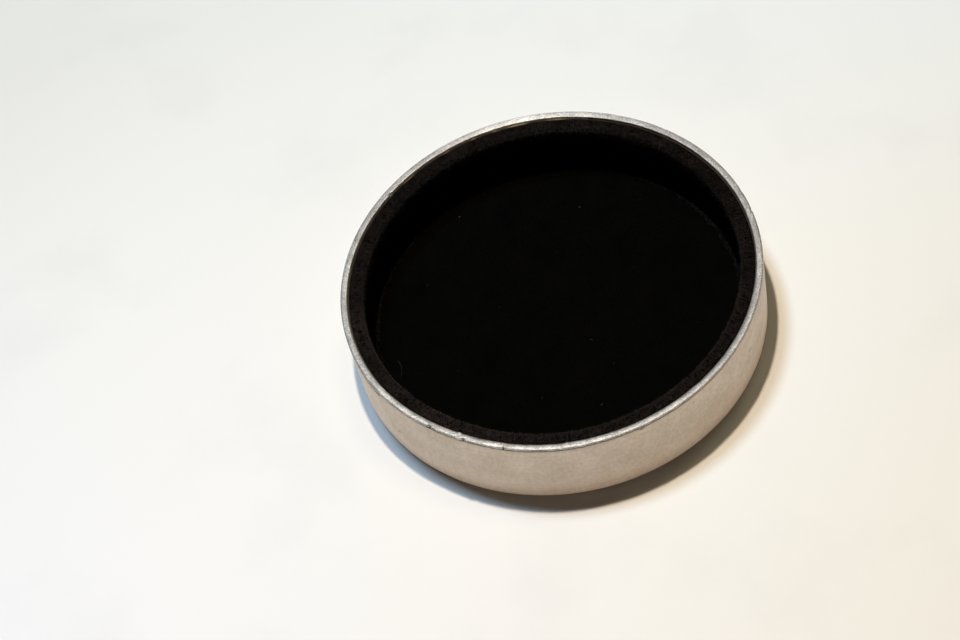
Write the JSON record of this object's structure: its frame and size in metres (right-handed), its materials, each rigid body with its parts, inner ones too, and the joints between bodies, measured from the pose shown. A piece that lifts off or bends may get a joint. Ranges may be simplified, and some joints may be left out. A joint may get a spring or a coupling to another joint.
{
  "type": "slip-on round cap",
  "caption": "Shallow round metal slip-on cap with a closed end and a straight side wall, lined inside with black pile fabric on the wall and the floor.",
  "frame": {"origin": "centre of the closed end's outer face, which the cap stands on", "axes": "+Z along the cap's axis, out of its open mouth; +X and +Y are free, with the joint in the wall lining at 152 degrees counter-clockwise from +X"},
  "size_m": [0.046, 0.046, 0.0088],
  "materials": {
    "satin_aluminium": "satin",
    "black_pile": "cut pile",
    "contact_adhesive": "dried film"
  },
  "bodies": {
    "root": {"cap_shell": "satin_aluminium", "wall_adhesive": "contact_adhesive", "wall_lining": "black_pile", "floor_adhesive": "contact_adhesive", "floor_lining": "black_pile"}
  },
  "joints": []
}
